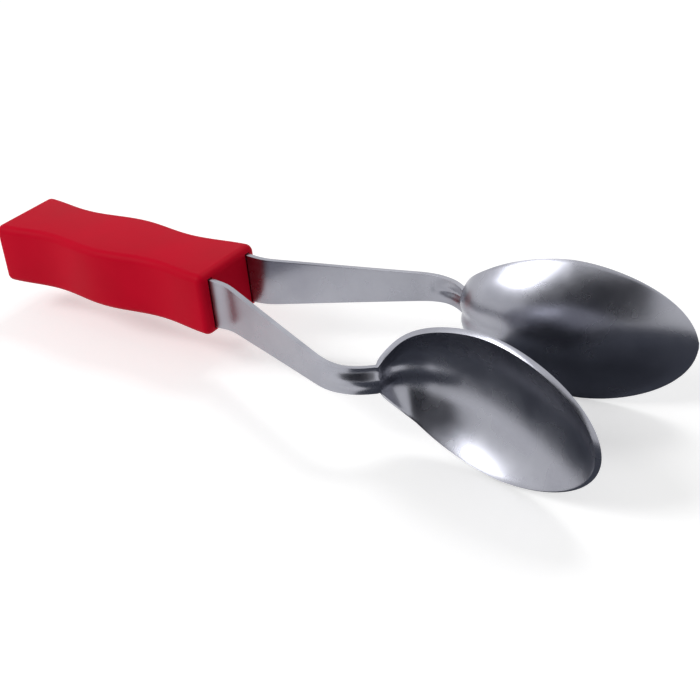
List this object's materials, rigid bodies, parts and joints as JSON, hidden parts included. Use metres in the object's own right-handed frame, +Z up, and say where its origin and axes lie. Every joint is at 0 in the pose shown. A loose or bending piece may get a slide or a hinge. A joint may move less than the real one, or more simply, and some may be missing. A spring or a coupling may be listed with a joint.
{
  "type": "musical spoons",
  "caption": "Musical spoons: steel spoons set back to back in a moulded grip, flexed together so that their bowls clack.",
  "frame": {"origin": "middle of the flat face at the handle's butt end", "axes": "+X along the handle to the spoon tips, +Y from the front spoon to the rear spoon, +Z up across the bowls"},
  "size_m": [0.2336, 0.0612, 0.045],
  "materials": {
    "red_plastic": "satin moulded red plastic",
    "polished_steel": "polished stainless sheet with a fine lengthwise grain"
  },
  "bodies": {
    "grip": {"handle": "red_plastic", "front_tang": "polished_steel", "rear_tang": "polished_steel"},
    "front_spoon": {"front_spoon": "polished_steel"},
    "rear_spoon": {"rear_spoon": "polished_steel"}
  },
  "joints": [
    {"name": "front_spoon_flex", "type": "hinge", "parent": "grip", "child": "front_spoon", "pos_m": [0.092, -0.0092, 0], "axis": [0, 0, 1], "range_deg": [-2, 7], "stiffness_Nm_per_rad": 8},
    {"name": "rear_spoon_flex", "type": "hinge", "parent": "grip", "child": "rear_spoon", "pos_m": [0.092, 0.0092, 0], "axis": [0, 0, -1], "range_deg": [-2, 7], "stiffness_Nm_per_rad": 8}
  ]
}
